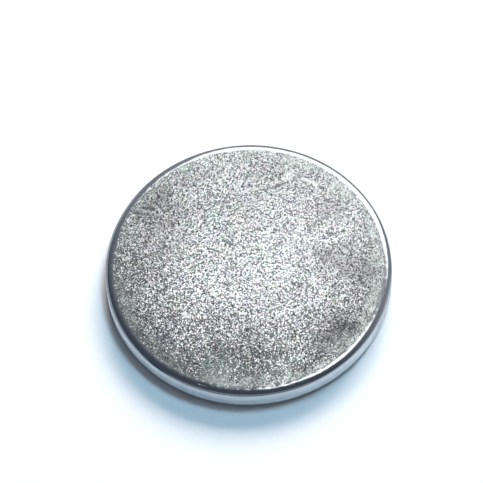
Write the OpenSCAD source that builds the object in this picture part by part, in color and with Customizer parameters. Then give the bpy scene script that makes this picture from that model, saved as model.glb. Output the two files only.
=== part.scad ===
// Disc magnet: one thin sintered disc, tumbled so that both of its edges are
// rolled over, and then plated all over. It lies on its lower pole face, which
// is centred on the origin, and its axis is Z. All lengths are in millimetres.

/* [Disc] */
// Diameter over the rim
disc_d = 12; // [6:0.5:40]
// Thickness from one pole face to the other
disc_t = 1; // [0.7:0.1:10]

/* [Rolled edges] */
// Radius of the gentle shoulder, where a pole face starts to fall away
shoulder_r = 0.8; // [0.5:0.05:1.2]
// Angle that the shoulder turns through before the tighter corner takes over
shoulder_turn = 18; // [10:1:22]
// Radius of the tighter corner, which runs on into the straight rim
corner_r = 0.17; // [0.12:0.01:0.2]

/* [Hidden] */

$fn = 128;

// The section is drawn from the axis outwards and from the middle plane upwards
disc_r = disc_d / 2;
face_z = disc_t / 2;

// Width and height of a rolled edge, from the flat of a face to the straight rim
edge_w = (shoulder_r - corner_r) * sin(shoulder_turn) + corner_r;
edge_h = shoulder_r - (shoulder_r - corner_r) * cos(shoulder_turn);

// Where the flat of a face ends, where shoulder and corner meet, and where the
// straight rim ends
flat_r = disc_r - edge_w;
meet_r = flat_r + shoulder_r * sin(shoulder_turn);
rim_z = face_z - edge_h;

// Filled rectangle between two opposite corners
module block(low, high) {
    polygon([low, [high.x, low.y], high, [low.x, high.y]]);
}

// Quarter of the disc's whole section: the flat of the face, the straight rim
// and the two arcs between them, each tangent to the next
module quarter_section() {
    square([flat_r, face_z]);
    square([disc_r, rim_z]);
    intersection() {
        translate([flat_r, face_z - shoulder_r]) circle(shoulder_r);
        block([flat_r, rim_z], [meet_r, disc_t]);
    }
    intersection() {
        translate([disc_r - corner_r, rim_z]) circle(corner_r);
        block([meet_r, rim_z], [disc_d, disc_t]);
    }
}

module disc_magnet() {
    color("silver")
        translate([0, 0, face_z])
            rotate_extrude() {
                quarter_section();
                mirror([0, 1]) quarter_section();
            }
}

disc_magnet();
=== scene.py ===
# %% [markdown]
# # Dressing a nickel plated disc magnet
#
# The real object is one sintered disc, 12 mm across and 1 mm thick. It was
# pressed and sintered, ground flat, tumbled with grit until its two edges
# rolled over, and then plated with bright nickel. Three finishes come out of
# that: a glittering grain on the flat faces, a bright polish on the rolled
# edges, and an even satin on the rim, which fingers and other discs have rubbed.
#
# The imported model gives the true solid, but with only some fifty facets round
# a disc whose rolled edge mirrors the room. Here it is replaced by a fine
# surface of the same form, and the three finishes are one material that knows
# where it is.

import math

import bpy
import numpy as np
from mathutils import Matrix, Vector


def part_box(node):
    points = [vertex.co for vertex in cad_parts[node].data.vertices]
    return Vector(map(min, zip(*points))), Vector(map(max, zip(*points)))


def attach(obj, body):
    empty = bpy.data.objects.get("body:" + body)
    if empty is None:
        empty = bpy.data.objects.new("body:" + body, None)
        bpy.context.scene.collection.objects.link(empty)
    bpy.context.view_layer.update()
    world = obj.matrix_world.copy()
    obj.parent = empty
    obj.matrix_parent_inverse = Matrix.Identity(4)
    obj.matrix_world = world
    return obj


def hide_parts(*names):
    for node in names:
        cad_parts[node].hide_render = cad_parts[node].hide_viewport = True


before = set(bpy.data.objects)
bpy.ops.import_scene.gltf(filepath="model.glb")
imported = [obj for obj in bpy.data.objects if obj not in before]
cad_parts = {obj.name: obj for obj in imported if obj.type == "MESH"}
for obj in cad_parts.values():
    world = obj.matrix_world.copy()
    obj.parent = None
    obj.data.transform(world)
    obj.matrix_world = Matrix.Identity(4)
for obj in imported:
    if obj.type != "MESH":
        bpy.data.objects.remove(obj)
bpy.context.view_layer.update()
MM = 0.001

# %% [markdown]
# ## Camera
#
# The camera looks down at about 62 degrees, from twelve centimetres, through a
# long lens, as a close-up of a small part does. It is placed first, so that
# every later choice of grain size can be judged by what it will see. The disc
# lies a little below the middle of the frame, and the camera is rolled by a
# few degrees, so the near rim climbs to the right.

# %% Camera
CAMERA_DISTANCE = 120 * MM
CAMERA_ELEVATION = math.radians(61.8)
CAMERA_ROLL = math.radians(-3.46)
CAMERA_AIM = Vector((-0.23, 1.76, 0)) * MM
SENSOR_WIDTH = 36
LENS_LENGTH = 212.6
CLIP_RANGE = (1 * MM, 10)


def place_camera(distance, elevation, aim, roll, lens):
    """A camera on the -Y side of the origin, at an elevation above it.

    It looks at aim, and is rolled about its own line of sight.
    """
    place = Vector((0, -math.cos(elevation), math.sin(elevation))) * distance
    back = (place - aim).normalized()
    right = Vector((0, 0, 1)).cross(back).normalized()
    level = Matrix((right, back.cross(right), back)).transposed()
    data = bpy.data.cameras.new("close_up")
    data.sensor_width, data.lens = SENSOR_WIDTH, lens
    data.clip_start, data.clip_end = CLIP_RANGE
    camera = bpy.data.objects.new("close_up", data)
    rolled = level @ Matrix.Rotation(roll, 3, "Z")
    camera.matrix_world = Matrix.Translation(place) @ rolled.to_4x4()
    bpy.context.scene.collection.objects.link(camera)
    return camera


camera = place_camera(CAMERA_DISTANCE, CAMERA_ELEVATION, CAMERA_AIM, CAMERA_ROLL, LENS_LENGTH)
bpy.context.scene.camera = camera
print("camera at", [round(c / MM, 1) for c in camera.matrix_world.translation], "mm")

# %% [markdown]
# ## The section of the disc
#
# Tumbling does not cut a clean fillet. It wears a gentle shoulder into the
# face first, and a tighter corner below it. Both are arcs, tangent to the face,
# to each other and to the rim, so one number finds any point of them: the angle
# by which the surface has leaned outwards. It is 0 on the face and 90 degrees
# on the rim.

# %% Section of a rolled edge
low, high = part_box("disc_magnet")
RIM_RADIUS = (high.x - low.x) / 2
THICKNESS = high.z - low.z
SHOULDER_RADIUS = 0.8 * MM
SHOULDER_TURN = math.radians(18)
CORNER_RADIUS = 0.17 * MM

EDGE_WIDTH = (SHOULDER_RADIUS - CORNER_RADIUS) * math.sin(SHOULDER_TURN) + CORNER_RADIUS
EDGE_HEIGHT = SHOULDER_RADIUS - (SHOULDER_RADIUS - CORNER_RADIUS) * math.cos(SHOULDER_TURN)
FLAT_RADIUS = RIM_RADIUS - EDGE_WIDTH


def rolled_edge(lean):
    """Distance from the axis and drop below the face, where the surface leans by that angle.

    Each arc goes out by its radius times the sine of the lean, and down by its
    radius times one less the cosine: first the shoulder's, then the corner's.
    """
    on_shoulder = lean <= SHOULDER_TURN
    out = np.where(
        on_shoulder,
        FLAT_RADIUS + SHOULDER_RADIUS * np.sin(lean),
        RIM_RADIUS - CORNER_RADIUS * (1 - np.sin(lean)),
    )
    drop = np.where(
        on_shoulder,
        SHOULDER_RADIUS * (1 - np.cos(lean)),
        EDGE_HEIGHT - CORNER_RADIUS * np.cos(lean),
    )
    return out, drop


print(f"rolled edge {EDGE_WIDTH / MM:.3f} mm wide and {EDGE_HEIGHT / MM:.3f} mm high")

# %% [markdown]
# ## One closed surface
#
# A disc made of rings has a pole in its middle, where the faces shrink to
# slivers and bumps pinch. A square grid pressed into a disc has none: each
# square ring of the grid becomes a circle, and its corners are spread evenly
# round it. The grid's outer ring then runs on down the rolled edge and the rim,
# row by row, to the same ring of a second grid, which is the lower face.

# %% The two faces as grids
FACE_CELLS = 176
EDGE_ROWS = 11
RIM_ROWS = 4


def disc_grid(cells):
    """A square grid of (cells + 1) by (cells + 1) points in the unit disc.

    The larger coordinate of a point becomes its radius, and the ratio of the
    smaller one to it, times an eighth of a turn, becomes its angle.
    """
    a, b = np.meshgrid(*[np.linspace(-1, 1, cells + 1)] * 2)
    wide = np.abs(a) > np.abs(b)
    radius = np.where(wide, a, b)
    ratio = np.divide(np.where(wide, b, a), radius, out=np.zeros_like(a), where=radius != 0)
    turn = np.where(wide, ratio, 2 - ratio) * math.pi / 4
    return radius * np.cos(turn), radius * np.sin(turn)


def ring_of(cells):
    """Where a grid's outer ring lies in its flat list, anticlockwise from the +X side's middle."""
    index = np.arange((cells + 1) ** 2).reshape(cells + 1, cells + 1)
    ring = np.concatenate([index[:-1, -1], index[-1, :0:-1], index[:0:-1, 0], index[0, :-1]])
    return np.roll(ring, -cells // 2)


grid_x, grid_y = (FLAT_RADIUS * part.ravel() for part in disc_grid(FACE_CELLS))
ring = ring_of(FACE_CELLS)
ring_turn = np.arctan2(grid_y[ring], grid_x[ring])
print(len(grid_x), "points in a face and", len(ring), "round its edge")

# %% [markdown]
# ## The side as rows
#
# The side is the section carried round the axis. Its rows are spaced by lean,
# not by height, so each facet of the mesh turns by the same angle, and the
# reflections run round the rolled edge without a step.

# %% The rolled edges and the rim as rows


def side_rows():
    """Distance from the axis, height and lean of each row, from the upper face to the lower.

    The rolled edge in equal steps of lean, the rim in equal steps of height,
    and then the rolled edge again, upside down.
    """
    edge = np.concatenate([
        np.linspace(0, SHOULDER_TURN, EDGE_ROWS + 1),
        np.linspace(SHOULDER_TURN, math.pi / 2, EDGE_ROWS + 1)[1:],
    ])
    out, drop = rolled_edge(edge)
    rim = np.linspace(THICKNESS - EDGE_HEIGHT, EDGE_HEIGHT, RIM_ROWS + 1)[1:-1]
    return (
        np.concatenate([out, np.full(len(rim), RIM_RADIUS), out[::-1]]),
        np.concatenate([THICKNESS - drop, rim, drop[::-1]]),
        np.concatenate([edge, np.full(len(rim), math.pi / 2), math.pi - edge[::-1]]),
    )


row_out, row_height, row_lean = side_rows()
print(len(row_out), "rows from face to face")

# %% [markdown]
# ## Relief that a fingertip would not feel
#
# The ground face is not quite flat, and where the tumbling grit has eaten into
# it the border of the shoulder is ragged. Both are only a few thousandths of a
# millimetre deep, yet on bright metal they show, because a reflection moves by
# twice any tilt. A knock against another disc has left one nick in the near
# shoulder. All are cut into the mesh, always inwards, so that the disc keeps
# its measured size. A sum of plane waves in space gives the unevenness: it has
# no seams, whichever way the surface is laid out.

# %% Waves in space
# The waves' shortest and longest length in mm, how many there are, and a seed.
FACE_WAVES = (0.6, 1.5, 40, 3)
EDGE_WAVES = (0.18, 0.40, 60, 4)
FACE_RELIEF = 0.009 * MM
EDGE_RELIEF = 0.008 * MM
EDGE_SPREAD = 0.5 * EDGE_WIDTH
NICK_DEPTH = 0.014 * MM
NICK_TURN = math.radians(248)
NICK_RADIUS = 5.76 * MM
NICK_LENGTH = 0.20 * MM
NICK_WIDTH = 0.05 * MM


def waves(points, shortest, longest, count, seed):
    """Between 0 and 1 at each point: a sum of plane waves with random headings and phases."""
    rng = np.random.default_rng(seed)
    heading = rng.normal(size=(3, count))
    heading /= np.linalg.norm(heading, axis=0)
    pace = 2 * math.pi / (rng.uniform(shortest, longest, count) * MM)
    total = np.cos(points @ (heading * pace) + rng.uniform(0, 2 * math.pi, count)).sum(axis=1)
    return (total - total.min()) / (total.max() - total.min())


def relief(points, normals):
    """The points, each pushed inwards along its normal by the sum of three depths.

    Broad waves on the faces fade out over the rolled edge. Short waves on the
    shoulder fade by a bell curve of the distance from its start. The nick is a
    bell curve of the distance along the edge times one of that across it.
    """
    radius = np.hypot(points[:, 0], points[:, 1])
    on_face = np.clip((RIM_RADIUS - radius) / EDGE_WIDTH, 0, 1)
    on_shoulder = np.exp(-(((radius - FLAT_RADIUS) / EDGE_SPREAD) ** 2))
    depth = FACE_RELIEF * waves(points, *FACE_WAVES) * on_face
    depth += EDGE_RELIEF * waves(points, *EDGE_WAVES) * on_shoulder
    around = np.arctan2(points[:, 1], points[:, 0]) % (2 * math.pi) - NICK_TURN
    along, across = around * radius / NICK_LENGTH, (radius - NICK_RADIUS) / NICK_WIDTH
    nick = np.exp(-(along**2) - across**2)
    depth += NICK_DEPTH * nick * (points[:, 2] > THICKNESS / 2)
    return points - normals * depth[:, None]


print(f"relief at most {(FACE_RELIEF + EDGE_RELIEF) / MM:.3f} mm, nick {NICK_DEPTH / MM:.3f} mm")

# %% Points and faces of the closed disc


def disc_surface():
    """Points and four-cornered faces of the whole disc.

    The two grids lie at the heights of the faces. Between them each row is one
    ring of points: its distance from the axis times the cosine and sine of the
    turn. A normal leans outwards by the row's lean.
    """
    upper = np.column_stack([grid_x, grid_y, np.full(len(grid_x), THICKNESS)])
    lower = np.column_stack([grid_x, grid_y, np.zeros(len(grid_x))])
    cos, sin = np.cos(ring_turn), np.sin(ring_turn)
    inner = slice(1, -1)
    side = np.stack([
        np.outer(row_out[inner], cos),
        np.outer(row_out[inner], sin),
        np.outer(row_height[inner], np.ones(len(ring))),
    ], -1)
    side_normals = np.stack([
        np.outer(np.sin(row_lean[inner]), cos),
        np.outer(np.sin(row_lean[inner]), sin),
        np.outer(np.cos(row_lean[inner]), np.ones(len(ring))),
    ], -1)
    up = np.tile([0.0, 0.0, 1.0], (len(upper), 1))
    points = np.concatenate([upper, lower, side.reshape(-1, 3)])
    normals = np.concatenate([up, -up, side_normals.reshape(-1, 3)])

    index = np.arange(len(upper)).reshape(FACE_CELLS + 1, FACE_CELLS + 1)
    corners = [index[:-1, :-1], index[:-1, 1:], index[1:, 1:], index[1:, :-1]]
    quads = np.stack(corners, -1).reshape(-1, 4)
    side_index = 2 * len(upper) + np.arange(side.shape[0] * len(ring)).reshape(-1, len(ring))
    rows = np.concatenate([ring[None], side_index, len(upper) + ring[None]])
    after = np.roll(rows, -1, axis=1)
    walls = np.stack([rows[:-1], rows[1:], after[1:], after[:-1]], -1).reshape(-1, 4)
    return relief(points, normals), np.concatenate([quads, quads[:, ::-1] + len(upper), walls])


points, faces = disc_surface()
print(len(points), "points,", 2 * len(faces), "triangles")

# %% Put the surface in a mesh


def mesh_piece(name, points, faces):
    """A smooth-shaded mesh object at the origin, filled from whole arrays."""
    mesh = bpy.data.meshes.new(name)
    mesh.from_pydata(points, [], faces.tolist())
    mesh.shade_smooth()
    piece = bpy.data.objects.new(name, mesh)
    bpy.context.scene.collection.objects.link(piece)
    return piece


disc = mesh_piece("plated_disc", points, faces)
print(disc.name, "spans", [round(side / MM, 3) for side in disc.dimensions], "mm")

# %% [markdown]
# ## Laying the surface out flat
#
# A copy of this disc for a game or a web page carries its finish as a picture,
# and the picture needs a place for every bit of the surface. The faces with
# their shoulders are laid out as two circles side by side. The steep part, from
# one corner over the rim to the other, is unrolled into two strips below them,
# all at one scale, so that the grain is equally fine everywhere.

# %% Two circles and two strips
CIRCLE_CENTRES = ((0.25, 0.74), (0.75, 0.74))
CIRCLE_REACH = 0.245
STRIP_FLOORS = (0.30, 0.12)
STRIP_START = 0.05

side_length = np.concatenate([[0], np.cumsum(np.hypot(np.diff(row_out), np.diff(row_height)))])
STEEP_ROWS = (EDGE_ROWS, len(row_out) - 1 - EDGE_ROWS)
layout_scale = CIRCLE_REACH / row_out[EDGE_ROWS]


def flat_layout(points, faces):
    """UV of every face corner, as one array in the order of the faces.

    Circle: X and Y times the scale. Strip: the arc round the axis, from its
    half's start, and the length of section from the upper corner, both times
    the scale.
    """
    face_count = 2 * FACE_CELLS**2
    uv = np.empty((len(faces), 4, 2))
    for first, centre in ((0, CIRCLE_CENTRES[0]), (face_count // 2, CIRCLE_CENTRES[1])):
        part = slice(first, first + face_count // 2)
        uv[part] = points[faces[part], :2] * layout_scale + centre
    walls = faces[face_count:].reshape(len(row_out) - 1, len(ring), 4)
    upper_part, lower_part = slice(None, STEEP_ROWS[0]), slice(STEEP_ROWS[1], None)
    wall_uv = np.empty(walls.shape + (2,))
    for part, centre in ((upper_part, CIRCLE_CENTRES[0]), (lower_part, CIRCLE_CENTRES[1])):
        wall_uv[part] = points[walls[part], :2] * layout_scale + centre
    steep = slice(*STEEP_ROWS)
    half = len(ring) // 2
    step = 2 * math.pi * RIM_RADIUS / len(ring) * layout_scale
    along = np.arange(len(ring)) % half * step
    down = (side_length - side_length[STEEP_ROWS[0]]) * layout_scale
    floor = np.repeat(STRIP_FLOORS, half)
    corner_along = np.array([0, 0, 1, 1]) * step
    wall_uv[steep, ..., 0] = STRIP_START + along[None, :, None] + corner_along
    rows = np.arange(*STEEP_ROWS)[:, None, None]
    wall_uv[steep, ..., 1] = floor[None, :, None] - down[rows + np.array([0, 1, 1, 0])]
    uv[face_count:] = wall_uv.reshape(-1, 4, 2)
    return uv.reshape(-1, 2)


layout = flat_layout(points, faces)
disc.data.uv_layers.new(name="OFBake").data.foreach_set("uv", layout.ravel())
print("layout from", layout.min(axis=0).round(3), "to", layout.max(axis=0).round(3))

# %% [markdown]
# ## Shader maths as sums
#
# A material is a small sum worked out at every point of the surface. Written
# as nodes and links it is long and hard to read, so one small class wraps a
# wire between nodes, and turns `+`, `-`, `*` and `/` into Math nodes.

# %% A wire that can be reckoned with


class Wire:
    """What one node hands on to the next. Arithmetic on a wire adds Math nodes."""

    def __init__(self, bench, socket):
        self.bench, self.socket = bench, socket

    def _reckon(self, operation, first, second):
        return self.bench.node("ShaderNodeMath", {"operation": operation}, {0: first, 1: second})

    def __add__(self, other):
        return self._reckon("ADD", self, other)

    __radd__ = __add__

    def __sub__(self, other):
        return self._reckon("SUBTRACT", self, other)

    def __rsub__(self, other):
        return self._reckon("SUBTRACT", other, self)

    def __mul__(self, other):
        return self._reckon("MULTIPLY", self, other)

    __rmul__ = __mul__

    def __truediv__(self, other):
        return self._reckon("DIVIDE", self, other)

    def __rtruediv__(self, other):
        return self._reckon("DIVIDE", other, self)


# %% A bench to build a material on


class Bench:
    """The node tree of one material or of the studio's surroundings, and the ways to add to it."""

    def __init__(self, block):
        self.block = block
        block.use_nodes = True
        self.tree = block.node_tree

    def feed(self, socket, value):
        """Link a wire to a socket, or set the socket to a number, vector or colour."""
        if isinstance(value, Wire):
            self.tree.links.new(value.socket, socket)
        else:
            socket.default_value = value

    def node(self, kind, settings, sockets, out=0):
        """A new node: first its settings, then its sockets. Returns the wire of one output."""
        fresh = self.tree.nodes.new(kind)
        for name, setting in settings.items():
            setattr(fresh, name, setting)
        for name, value in sockets.items():
            self.feed(fresh.inputs[name], value)
        return Wire(self, fresh.outputs[out])

    def finish(self, kind, sockets):
        """Feed the sockets of the node that is already there, such as the shader."""
        for name, value in sockets.items():
            self.feed(self.tree.nodes[kind].inputs[name], value)

    def vector(self, operation, first, second=(0, 0, 0), out="Vector"):
        """A Vector Math node on two vectors."""
        sockets = {0: first, 1: second}
        return self.node("ShaderNodeVectorMath", {"operation": operation}, sockets, out)

    def scaled(self, vector, factor):
        """A vector times a number."""
        sockets = {"Vector": vector, "Scale": factor}
        return self.node("ShaderNodeVectorMath", {"operation": "SCALE"}, sockets)

    def centred(self, colour):
        """A random colour less a half, so that its three numbers lie evenly about 0."""
        return self.vector("SUBTRACT", colour, (0.5, 0.5, 0.5))

    def rise(self, value, start, end):
        """0 up to start and 1 from end, with an S-shaped rise between."""
        return self.node(
            "ShaderNodeMapRange", {"interpolation_type": "SMOOTHSTEP"},
            {"Value": value, "From Min": start, "From Max": end},
        )

    def blend(self, mask, before, after):
        """A colour that goes from before to after as mask goes from 0 to 1.

        A Mix node keeps its colours on inputs 6 and 7 and output 2.
        """
        sockets = {0: mask, 6: before, 7: after}
        return self.node("ShaderNodeMix", {"data_type": "RGBA"}, sockets, 2)

    def noise(self, vector, size, detail=0, out=0):
        """Soft noise with features of about that size, between 0 and 1."""
        sockets = {"Vector": vector, "Scale": 1 / size, "Detail": detail}
        return self.node("ShaderNodeTexNoise", {}, sockets, out)

    def cells(self, vector, size, out="Color"):
        """Voronoi cells of about that size: a random colour each, or Distance from the centre."""
        return self.node("ShaderNodeTexVoronoi", {}, {"Vector": vector, "Scale": 1 / size}, out)

    def part(self, vector, axis):
        """One of the three numbers of a vector or colour."""
        return self.node("ShaderNodeSeparateXYZ", {}, {0: vector}, axis)


# %% [markdown]
# ## Where on the disc a point is
#
# The finish depends on the distance from the axis, so that comes first. Object
# coordinates are metres on the real part. They are turned into millimetres,
# because grain sizes are easier to judge in those.

# %% Millimetres, distance from the axis, and which face
UPPER_PART = (0.75 * THICKNESS / MM, 0.80 * THICKNESS / MM)

nickel = Bench(bpy.data.materials.new("nickel_plate"))
place = nickel.scaled(nickel.node("ShaderNodeTexCoord", {}, {}, "Object"), 1 / MM)
flat_place = nickel.vector("MULTIPLY", place, (1, 1, 0))
radius = nickel.vector("LENGTH", flat_place, out="Value")
height = nickel.part(place, "Z")
on_top = nickel.rise(height, *UPPER_PART)
print(f"in mm, the rim is at {RIM_RADIUS / MM:.1f} and the upper face at {THICKNESS / MM:.1f}")

# %% [markdown]
# ## The grain of a ground face
#
# Under the plating a ground and tumbled face is a field of tiny facets, each
# about a twentieth of a millimetre across and tilted its own way. That is why
# it glitters as it turns. Noise in a bump map looks like putty instead, because
# a facet needs one tilt all over. Voronoi cells give that: the colour of a cell
# is a random vector, the same all over the cell. Small cells ride on clusters
# of larger ones, and noise bends their straight borders.
#
# Grit never wears a face evenly. Here the facets are steepest behind the middle
# and flatten from there towards the near shoulder, with a little mottle. Where
# the polish of the shoulder begins, the grain ends in a ragged border.

# %% Where the grain is, and how keen
GRAIN_EDGE = (5.57, 5.73)
RAGGED_SIZE = 0.28
RAGGED_REACH = 0.20
KEEN_PLACE = (-0.25, 3.2, 0)
KEEN_REACH = 5.5
MOTTLE_SIZE = 0.9
MOTTLE = 0.16

ragged = radius + (nickel.noise(place, RAGGED_SIZE, detail=4) - 0.5) * RAGGED_REACH
grainy = 1 - nickel.rise(ragged, *GRAIN_EDGE)
from_keen = nickel.vector("DISTANCE", flat_place, KEEN_PLACE, "Value") / KEEN_REACH
mottle = nickel.noise(place, MOTTLE_SIZE, detail=2) - 0.5
keen = (1 + MOTTLE * mottle) / (1 + from_keen * from_keen)
print("grain ends from", GRAIN_EDGE[0], "to", GRAIN_EDGE[1], "mm from the axis")

# %% [markdown]
# ## The haze near the shoulder
#
# Near the shoulder the grit has rubbed longest, and polish and grime are left
# in the grain there. The haze is a ring with a border so uneven that it reads
# as patches, so broad noise is added to the radius before the ring is drawn.
# Colour, roughness and tilt further down all use this one mask.

# %% The haze as a mask
HAZE_EDGE = (4.9, 5.6)
HAZE_PATCH_SIZE = 0.8
HAZE_WANDER = 2.2

uneven_radius = radius + (nickel.noise(place, HAZE_PATCH_SIZE, detail=3) - 0.5) * HAZE_WANDER
haze = grainy * nickel.rise(uneven_radius, *HAZE_EDGE)
print("haze begins near", HAZE_EDGE[0], "mm from the axis")

# %% Tilted facets
FACET_SIZE = 0.038
FACET_TILT = 0.190
CLUSTER_SIZE = 0.075
CLUSTER_TILT = 0.03
BEND_SIZE = 1.1
BEND = 1.2


def tilts(size, strength):
    """A random sideways vector for each bent cell.

    It is the cell's colour less a half, times twice the strength, laid flat.
    The cells are bent by noise of nearly their own size.
    """
    wander = nickel.noise(place, BEND_SIZE * size, detail=1, out="Color")
    bent = nickel.vector("ADD", place, nickel.scaled(wander, BEND * size))
    sideways = (2 * strength, 2 * strength, 0)
    return nickel.vector("MULTIPLY", nickel.centred(nickel.cells(bent, size)), sideways)


facets = nickel.vector("ADD", tilts(FACET_SIZE, FACET_TILT), tilts(CLUSTER_SIZE, CLUSTER_TILT))
print("facets", FACET_SIZE, "mm across in clusters of", CLUSTER_SIZE, "mm")

# %% [markdown]
# ## Marks of handling
#
# Discs like this leap together and chip at each other, so a used one carries a
# few short strokes and chips: pale where the grain is smeared flat, dark where
# grime has caught. Each is a straight stroke or a round spot with a soft border.
# Its mask needs only the distance to the nearest point of the stroke.
#
# A perfect stroke looks drawn. So the place is shifted a little by noise before
# its distance is taken, which bends every stroke its own way. The blotches of
# the next cells are the same spots with a much wider shift, and so have borders
# that wander.

# %% Strokes, spots and blotches
STROKE_WANDER = {"size": 0.16, "detail": 2, "reach": 0.14}
BLOTCH_WANDER = {"size": 0.9, "detail": 3, "reach": 1.5}


def wandering(size, detail, reach):
    """The place on the face, shifted by centred noise times reach."""
    shift = nickel.centred(nickel.noise(place, size, detail, out="Color"))
    return nickel.vector("ADD", flat_place, nickel.scaled(shift, reach))


def near(away, width, soft):
    """1 on the upper face within half the width, and 0 from soft beyond it."""
    return on_top * (1 - nickel.rise(away, width / 2, width / 2 + soft))


def stroke(start, end, width, soft):
    """A straight stroke: the nearest point is the clamped share of the run from its start."""
    run = Vector(end) - Vector(start)
    from_start = nickel.vector("SUBTRACT", bent_place, (*start, 0))
    along = nickel.vector("DOT_PRODUCT", from_start, (*(run / run.length_squared), 0), "Value")
    nearest = nickel.scaled((*run, 0), nickel.node("ShaderNodeClamp", {}, {"Value": along}))
    return near(nickel.vector("DISTANCE", from_start, nearest, "Value"), width, soft)


def spot(centre, width, soft):
    """A round spot."""
    return near(nickel.vector("DISTANCE", bent_place, (*centre, 0), "Value"), width, soft)


def blotch(centre, width, soft):
    """A spot with a wandering border."""
    return near(nickel.vector("DISTANCE", smudged_place, (*centre, 0), "Value"), width, soft)


def all_of(kind, marks):
    """The masks of all marks of one kind, added up."""
    return sum(kind(*mark) for mark in marks)


bent_place = wandering(**STROKE_WANDER)
smudged_place = wandering(**BLOTCH_WANDER)

# %% Pale smears and chips, and dark grime
# A stroke is its start, its end, its width and its soft border, all in mm.
# A spot is its centre, its width and its soft border.
SMEARS = (
    ((1.77, 4.13), (2.08, 4.44), 0.12, 0.12),
    ((2.54, 4.08), (3.06, 3.80), 0.07, 0.10),
    ((-1.59, -3.44), (-1.21, -3.47), 0.03, 0.06),
    ((-1.21, -3.47), (-1.25, -3.85), 0.03, 0.06),
    ((-3.15, -4.34), (-2.92, -4.74), 0.02, 0.04),
    ((3.30, -0.62), (3.72, -0.44), 0.04, 0.06),
    ((-3.98, -1.35), (-4.12, -2.10), 0.02, 0.05),
)
CHIPS = (
    ((1.21, -4.35), 0.10, 0.08),
    ((3.93, -3.48), 0.07, 0.06),
    ((4.52, -2.81), 0.05, 0.05),
    ((2.51, -3.24), 0.10, 0.30),
    ((3.02, -4.04), 0.10, 0.30),
)
CHIP_SHARE = 0.8
GRIME = (
    ((1.20, 3.73), (1.87, 3.96), 0.02, 0.07),
    ((2.98, 2.78), (3.25, 2.82), 0.02, 0.06),
    ((3.36, 2.96), (3.55, 2.98), 0.02, 0.05),
    ((3.79, 2.74), (3.99, 2.70), 0.02, 0.06),
    ((-4.62, 2.88), (-4.10, 2.74), 0.03, 0.12),
    ((-4.25, 3.12), (-3.90, 3.02), 0.03, 0.12),
)
FAINT_GRIME = (((3.88, -2.91), 0.5, 0.6),)
FAINT_SHARE = 0.35

smeared = all_of(stroke, SMEARS) + CHIP_SHARE * all_of(spot, CHIPS)
grimed = all_of(stroke, GRIME) + FAINT_SHARE * all_of(spot, FAINT_GRIME)
print(len(SMEARS + CHIPS), "pale marks and", len(GRIME + FAINT_GRIME), "dark ones")

# %% [markdown]
# ## Painted shade and a film of grime
#
# The face is painted darker outwards from a place near its middle. That is painted shade, for the
# reflected window fading away across the face, and with it goes a thin film of grime. Both lie in
# blotches, with a few lighter ones between. Two places by the near shoulder are worn pale. Each
# blotch is given by its centre, its width and its soft border in mm, and adds to or takes from the
# darkening.

# %% Painted shade and film, lighter and worn places
# The face darkens outwards from this place: painted shade, with blotches of painted shade and
# grime.
UNSHADED_PLACE = (0.10, 0.10, 0)
FACE_SHADE_EDGE = (1.6, 5.8)
SHADE_OUTWARDS = 0.5
SHADE_AND_GRIME_BLOTCHES = (
    ((-3.8, 3.3), 1.2, 1.7),
    ((4.3, -0.2), 1.0, 1.5),
    ((3.6, -3.3), 1.2, 1.5),
    ((-0.9, -3.6), 0.9, 1.4),
    ((3.1, 0.8), 0.6, 1.6),
    ((-3.4, 1.6), 0.6, 1.4),
    ((-4.3, 0.2), 0.5, 1.3),
    ((1.0, -1.9), 0.8, 1.6),
    ((3.6, -3.75), 0.6, 0.9),
    ((3.65, -3.35), 0.6, 0.9),
    ((-3.7, 3.75), 0.5, 0.8),
    ((-4.2, 3.3), 0.3, 0.7),
    ((4.8, -0.7), 0.5, 1.0),
    ((3.6, 2.4), 0.4, 0.8),
    ((2.4, -1.2), 0.3, 0.8),
    ((-1.2, -2.4), 0.4, 0.8),
    ((0.1, -3.5), 0.4, 0.9),
    ((3.4, 0.1), 0.3, 0.9),
)
SHADE_BLOTCH_SHARE = 0.22
LIGHTER_SPOTS = (
    ((-1.2, -4.95), 0.6, 0.8),
    ((1.25, -4.85), 0.4, 0.7),
    ((-0.6, 4.8), 1.4, 0.8),
    ((1.2, -2.5), 0.4, 0.7),
    ((-3.0, -3.4), 0.5, 0.8),
    ((3.6, 1.3), 0.3, 0.7),
    ((-2.6, 3.8), 0.3, 0.7),
)
LIGHTER_SHARE = 0.26
WORN_SPOTS = (
    ((-1.3, -4.95), 1.0, 0.9),
    ((1.1, -4.95), 0.7, 0.8),
)

from_unshaded = nickel.vector("DISTANCE", flat_place, UNSHADED_PLACE, "Value")
face_shade_and_film = (
    SHADE_OUTWARDS * nickel.rise(from_unshaded, *FACE_SHADE_EDGE)
    + SHADE_BLOTCH_SHARE * all_of(blotch, SHADE_AND_GRIME_BLOTCHES)
    - LIGHTER_SHARE * all_of(blotch, LIGHTER_SPOTS)
)
worn = all_of(blotch, WORN_SPOTS)
print(len(SHADE_AND_GRIME_BLOTCHES), "filmed,", len(LIGHTER_SPOTS), "clear and", len(WORN_SPOTS), "worn places")
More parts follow.
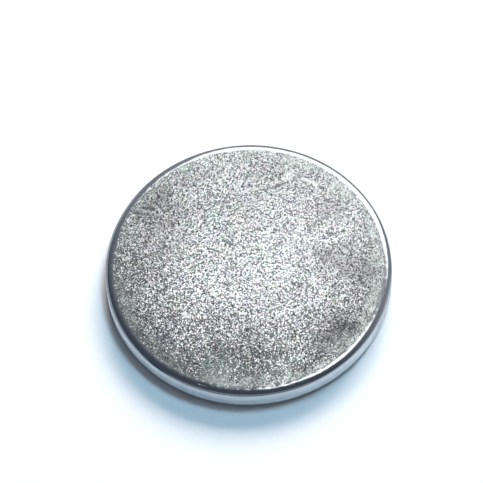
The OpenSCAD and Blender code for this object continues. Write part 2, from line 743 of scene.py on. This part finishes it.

# %% [markdown]
# ## Colour of the faces
#
# Nickel is a warm white metal, but plated over grain it looks grey, because every pit between the
# facets holds a shadow. That shadow is painted: the pits are dark dots of painted shade, one in
# each of a second and coarser set of cells, and each cell's random colour says how deep its pit is.
# Colour changes a little from facet to facet and from patch to patch.
#
# The coats then go on one over another: bare nickel, the dull grey of painted shade and film, the
# greener haze near the shoulder, the worn places, the pits, the wiped smears and last the dark
# strokes of grime. Haze and wear fill the pits up a little, and a smear closes them.

# %% Coats on the faces
BRIGHT_NICKEL = (0.73, 0.735, 0.735)
# A dull grey for painted shade and grime film.
SHADE_AND_GRIME_GREY = (0.27, 0.26, 0.265, 1)
HAZED_NICKEL = (0.525, 0.572, 0.537, 1)
WORN_NICKEL = (0.72, 0.80, 0.75, 1)
PIT_SHADE_AND_GRIME = (0.085, 0.085, 0.095, 1)
CLEAN_NICKEL = (0.93, 0.94, 0.93, 1)
FACET_TINT = 0.11
PATCH_TINT = 0.13
PATCH_SIZE = 0.7
PIT_SPACING = 0.10
PIT_REACH = (0.16, 0.50)
PIT_DEPTHS = (0.05, 0.6)
HAZE_FILLS = 0.25
WEAR_FILLS = 0.3
HAZE_COVER = 0.65
WORN_COVER = 0.5
WIPED_COVER = 0.5
GRIME_COVER = 0.68

facet_tint = nickel.centred(nickel.cells(place, FACET_SIZE))
patch_tint = nickel.centred(nickel.noise(place, PATCH_SIZE, detail=2, out="Color"))
varied = nickel.vector("ADD", nickel.scaled(facet_tint, FACET_TINT * grainy), BRIGHT_NICKEL)
varied = nickel.vector("ADD", nickel.scaled(patch_tint, PATCH_TINT * grainy), varied)
pit_depth = nickel.rise(nickel.part(nickel.cells(flat_place, PIT_SPACING), "X"), *PIT_DEPTHS)
from_pit = nickel.cells(flat_place, PIT_SPACING, "Distance")
# Each pit is a dot of painted shade.
pitted = grainy * pit_depth * (1 - nickel.rise(from_pit, *PIT_REACH))
open_pits = pitted * (1 - HAZE_FILLS * haze) * (1 - WEAR_FILLS * worn) * (1 - smeared)

# Painted shade and grime film go on first.
with_shade_and_film = nickel.blend(face_shade_and_film, varied, SHADE_AND_GRIME_GREY)
hazed = nickel.blend(HAZE_COVER * haze, with_shade_and_film, HAZED_NICKEL)
matted = nickel.blend(WORN_COVER * worn, hazed, WORN_NICKEL)
with_pits = nickel.blend(open_pits, matted, PIT_SHADE_AND_GRIME)
wiped = nickel.blend(WIPED_COVER * smeared, with_pits, CLEAN_NICKEL)
face_colour = nickel.blend(GRIME_COVER * grimed, wiped, PIT_SHADE_AND_GRIME)
print(len(nickel.tree.nodes), "nodes up to the colour of the faces")

# %% [markdown]
# ## Colour of the edge and the rim
#
# The tight corner is painted darkest, a painted dark reflection that stands for the dark things a
# corner mirrors and keeps the outline clear against the pale card. The rim is palest, and its cool
# blue cast is a painted reflection of the blue shadow on the card in front of it. Its right side is
# painted darker with the same dull grey as the face: painted shade. Half way up, the rim carries a
# faint darker band, a painted reflection of the shadow on the card, with fine brushed lines in it.
# Its lines are noise that is stretched along the rim: with X and Y squeezed and Z left alone, every
# feature comes out long and low.

# %% Coats on the edge
SHOULDER_NICKEL = (0.60, 0.62, 0.66, 1)
# The tight corner's dark colour is a painted dark reflection.
CORNER_DARK_REFLECTION = (0.25, 0.275, 0.32, 1)
# Pale nickel, with a painted reflection of the card's blue shadow.
RIM_NICKEL_BLUE_REFLECTION = (0.745, 0.81, 0.86, 1)
CORNER_EDGE = (5.895, 5.94)
RIM_EDGE = (5.972, 5.998)
# The rim's right side is painted darker: painted shade.
RIM_RIGHT_SHADE_EDGE = (4.0, 6.2)
RIM_RIGHT_SHADE_COVER = 0.35
LINE_SIZE = 0.12
LINE_SQUEEZE = (0.12, 0.12, 1)
LINE_STEP = (0.35, 0.65)
LINE_COVER = 0.20
# The band is a painted reflection of the shadow on the card, with brushed lines in it.
BAND_FOOT = (0.28, 0.42)
BAND_HEAD = (0.50, 0.64)
BAND_SHADE_COVER = 0.04

on_corner = nickel.rise(radius, *CORNER_EDGE)
on_rim = nickel.rise(radius, *RIM_EDGE)
squeezed = nickel.vector("MULTIPLY", place, LINE_SQUEEZE)
rim_lines = nickel.noise(squeezed, LINE_SIZE, detail=2)
in_band = nickel.rise(height, *BAND_FOOT) * (1 - nickel.rise(height, *BAND_HEAD))
brushed_and_shaded = in_band * (BAND_SHADE_COVER + LINE_COVER * nickel.rise(rim_lines, *LINE_STEP))
rim_right_shade = RIM_RIGHT_SHADE_COVER * nickel.rise(nickel.part(flat_place, "X"), *RIM_RIGHT_SHADE_EDGE)

banded = nickel.blend(brushed_and_shaded, RIM_NICKEL_BLUE_REFLECTION, SHADE_AND_GRIME_GREY)
rim_colour = nickel.blend(rim_right_shade, banded, SHADE_AND_GRIME_GREY)
# Shoulder nickel, turning to the corner's painted dark reflection.
rolled_colour = nickel.blend(on_corner, SHOULDER_NICKEL, CORNER_DARK_REFLECTION)
edge_colour = nickel.blend(on_rim, rolled_colour, rim_colour)
base_colour = nickel.blend(grainy, edge_colour, face_colour)
print("brushed band from", BAND_FOOT[0], "to", BAND_HEAD[1], "mm up the rim")

# %% [markdown]
# ## Polish
#
# Polish is the other half of the finish. On metal a slightly rougher patch
# sends more light aside and so looks paler, and a smooth one mirrors whatever
# is there, mostly the dark of a room. That is why the rolled shoulder is drawn
# in black and white, and why the rim, which handling has dulled, is an even
# grey. Haze and wear dull the grain a little too.
#
# A film of grime also scatters a little light by itself, as paint does. Pure
# metal can't: from straight above, between the glints, it would be quite black.
# So the faces are made a few hundredths less metallic than the edge.

# %% Roughness and metal
FACE_ROUGHNESS = 0.22
SHOULDER_ROUGHNESS = 0.13
RIM_ROUGHNESS = 0.68
SMEAR_ROUGHNESS = 0.07
WORN_ROUGHNESS = 0.04
HAZE_ROUGHNESS = 0.235
HAZE_PULL = 0.7
SCUFF_SIZE = 0.5
SCUFF_DEPTH = 0.10
MATT_SHARE = 0.055

scuffs = (nickel.noise(place, SCUFF_SIZE, detail=4) - 0.5) * SCUFF_DEPTH
grain_roughness = FACE_ROUGHNESS * keen + SMEAR_ROUGHNESS * smeared
haze_adds = HAZE_PULL * haze * (HAZE_ROUGHNESS - grain_roughness)
face_roughness = grain_roughness + haze_adds + WORN_ROUGHNESS * worn
side_roughness = SHOULDER_ROUGHNESS + (RIM_ROUGHNESS - SHOULDER_ROUGHNESS + scuffs) * on_rim
roughness = side_roughness + grainy * (face_roughness - side_roughness)
metallic = 1 - MATT_SHARE * grainy
print("roughness of face, shoulder, rim:", FACE_ROUGHNESS, SHOULDER_ROUGHNESS, RIM_ROUGHNESS)

# %% [markdown]
# ## Tilting the light
#
# The facets reach the shader as a tilted normal: the surface's own, plus each
# facet's sideways vector, brought back to length one. They lie flatter where
# haze, wear or a smear has levelled them. Over everything goes the faint orange
# peel of plating, which is smooth all over and so can be a bump.

# %% Normals
HAZE_LEVELS = 0.25
WEAR_LEVELS = 0.2
SMEAR_LEVELS = 0.6
PEEL_SIZE = 0.10
PEEL_HEIGHT = 0.0003 * MM

steepness = grainy * keen * (1 - HAZE_LEVELS * haze)
steepness = steepness * (1 - WEAR_LEVELS * worn) * (1 - SMEAR_LEVELS * smeared)
upright = nickel.node("ShaderNodeNewGeometry", {}, {}, "Normal")
tilted = nickel.vector("NORMALIZE", nickel.vector("ADD", upright, nickel.scaled(facets, steepness)))
peel = nickel.node("ShaderNodeBump", {}, {
    "Height": nickel.noise(place, PEEL_SIZE, detail=3),
    "Distance": PEEL_HEIGHT,
    "Normal": tilted,
})

# %% The finished plating
nickel.finish("Principled BSDF", {
    "Base Color": base_colour,
    "Metallic": metallic,
    "Roughness": roughness,
    "Normal": peel,
})
disc.data.materials.append(nickel.block)
print(len(nickel.tree.nodes), "nodes in the nickel")

# %% [markdown]
# ## A pale table
#
# Plain matt card, with a hint of fibres. Only its shadow matters, and what it
# lends to the rim, which mirrors the card just in front of it.

# %% Table
TABLE_SIZE = 2
TABLE_COLOURS = ((0.83, 0.83, 0.83, 1), (0.87, 0.87, 0.87, 1))
FIBRE_SIZE = 0.4 * MM

bpy.ops.mesh.primitive_plane_add(size=TABLE_SIZE)
table = bpy.context.object
table.name = "pale_table"
card = Bench(bpy.data.materials.new("pale_card"))
on_card = card.node("ShaderNodeTexCoord", {}, {}, "Object")
fibres = card.noise(on_card, FIBRE_SIZE, detail=3)
card.finish("Principled BSDF", {"Base Color": card.blend(fibres, *TABLE_COLOURS), "Roughness": 1})
table.data.materials.append(card.block)
print(table.name, TABLE_SIZE, "m across")

# %% [markdown]
# ## Window light
#
# The disc lies by a window, which stands low behind it and a little to the
# right, with a patch of bright sky higher up. The low window throws the long
# soft shadow towards the viewer, and the sky, nearly overhead, the short dark
# one at the foot of the rim, tinted blue where the window does not reach.
#
# Bright metal and white card need different strengths: light that makes the
# card white would burn out every facet. A studio answers that with flags and
# grids. Here each light is simply doubled, once for matt things and once for
# what the metal mirrors. The metal's copies stand a little elsewhere, because
# the borders of a lamp are what the polished shoulder draws.
#
# Metal that mirrors nothing is black. So three dim soft walls, seen by the metal
# alone, stand where a low view from the other sides would find only darkness.

# %% Softboxes
WHITE = (1.04, 0.92, 0.86)
SKY_BLUE = (0.52, 0.86, 1.12)
METAL_WHITE = (0.98, 1, 1)
SOFTBOX_DISTANCE = 0.30


def softbox(name, azimuth, elevation, width, height, radiance, tint, for_metal):
    """A rectangular area light that faces the origin, seen by metal alone or by matt things alone.

    Its power is the brightness that its face shows, times pi, times its area.
    """
    azimuth, elevation = math.radians(azimuth), math.radians(elevation)
    across = math.cos(elevation)
    back = Vector((math.cos(azimuth) * across, math.sin(azimuth) * across, math.sin(elevation)))
    data = bpy.data.lights.new(name, "AREA")
    data.shape, data.size, data.size_y = "RECTANGLE", width, height
    data.energy = radiance * math.pi * width * height
    data.color = tint
    light = bpy.data.objects.new(name, data)
    turn = back.to_track_quat("Z", "Y").to_matrix().to_4x4()
    light.matrix_world = Matrix.Translation(back * SOFTBOX_DISTANCE) @ turn
    light.visible_camera = False
    light.visible_glossy = for_metal
    light.visible_diffuse = not for_metal
    bpy.context.scene.collection.objects.link(light)


# Name, azimuth and elevation in degrees, width and height in metres, radiance,
# tint, and whether the metal alone sees it.
SOFTBOXES = (
    ("window_on_card", 72, 31, 0.24, 0.13, 17.6, WHITE, False),
    ("sky_on_card", 44, 69, 0.095, 0.063, 24, SKY_BLUE, False),
    ("window_in_metal", 74, 47.3, 0.180, 0.118, 1.95, METAL_WHITE, True),
    ("sky_in_metal", 66, 70.5, 0.07, 0.050, 2.4, METAL_WHITE, True),
    ("left_wall_in_metal", 160, 17, 0.50, 0.16, 0.66, METAL_WHITE, True),
    ("front_wall_in_metal", 258, 28, 0.50, 0.27, 0.50, METAL_WHITE, True),
    ("right_wall_in_metal", 340, 17, 0.50, 0.16, 0.62, METAL_WHITE, True),
)
for lamp in SOFTBOXES:
    softbox(*lamp)
print(len(SOFTBOXES), "softboxes")

# %% [markdown]
# ## The dim room around
#
# What no softbox covers is the room itself. It is dim, lighter on the window's
# side, with a band of pale wall just above the table, which a low view of the
# disc mirrors. The world's colour gives all of it, from the direction in which
# the metal looks. The plain view transform keeps the pale card pale.

# %% Room
ROOM_DARK = (0.060, 0.077, 0.100, 1)
ROOM_LIT = (0.27, 0.29, 0.30, 1)
WALL_LIGHT = (0.36, 0.38, 0.40, 1)
WINDOW_SIDE = (0.47, 0.88, 0)
WINDOW_SPREAD = (0.1, 0.6)
WALL_TOP = (0.03, 0.12)

world = bpy.data.worlds.new("room")
room = Bench(world)
outlook = room.node("ShaderNodeTexCoord", {}, {}, "Generated")
to_window = room.vector("DOT_PRODUCT", outlook, WINDOW_SIDE, "Value")
upwards = room.vector("DOT_PRODUCT", outlook, (0, 0, 1), "Value")
above = room.blend(room.rise(to_window, *WINDOW_SPREAD), ROOM_DARK, ROOM_LIT)
around = room.blend(room.rise(upwards, *WALL_TOP), WALL_LIGHT, above)
room.finish("Background", {"Color": around})
bpy.context.scene.world = world
bpy.context.scene.view_settings.view_transform = "Standard"
print(len(room.tree.nodes), "nodes in the room")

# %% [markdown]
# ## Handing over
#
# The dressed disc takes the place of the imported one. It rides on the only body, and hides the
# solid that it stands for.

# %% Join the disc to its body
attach(disc, "root")
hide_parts("disc_magnet")
